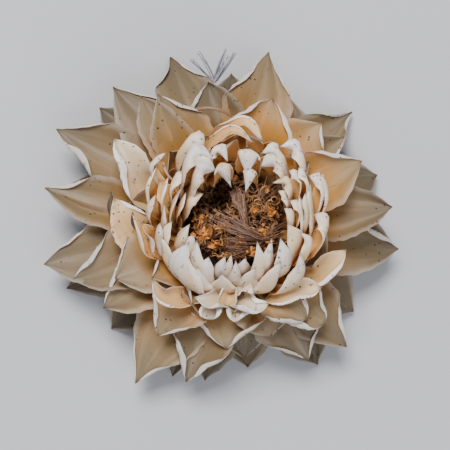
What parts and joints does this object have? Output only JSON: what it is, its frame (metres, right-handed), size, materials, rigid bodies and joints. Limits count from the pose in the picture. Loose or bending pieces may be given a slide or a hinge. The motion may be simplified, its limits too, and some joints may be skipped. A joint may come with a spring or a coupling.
{
  "type": "dried strawflower head",
  "caption": "Dried strawflower head lying face up, with cream papery bracts spreading round a white incurved crown and a brown disc.",
  "frame": {"origin": "on the surface that the flower rests on, below the middle of its outline seen from above", "axes": "+Z along the flower's axis, from the cut stem up through the open face; +X and +Y in the plane of the star"},
  "size_m": [0.0478, 0.045, 0.019],
  "materials": {
    "dry_stem": "matt, dry and ribbed",
    "brown_scale": "papery, slightly glossy",
    "cream_bract": "papery satin, translucent",
    "white_bract": "papery satin, translucent",
    "disc_floret": "matt, dry",
    "pappus_bristle": "fine hair, slightly glossy"
  },
  "bodies": {
    "root": {"stem": "dry_stem", "base_scales": "brown_scale", "spreading_bracts": "cream_bract", "inner_bracts": "white_bract", "disc_florets": "disc_floret", "pappus": "pappus_bristle"}
  },
  "joints": []
}
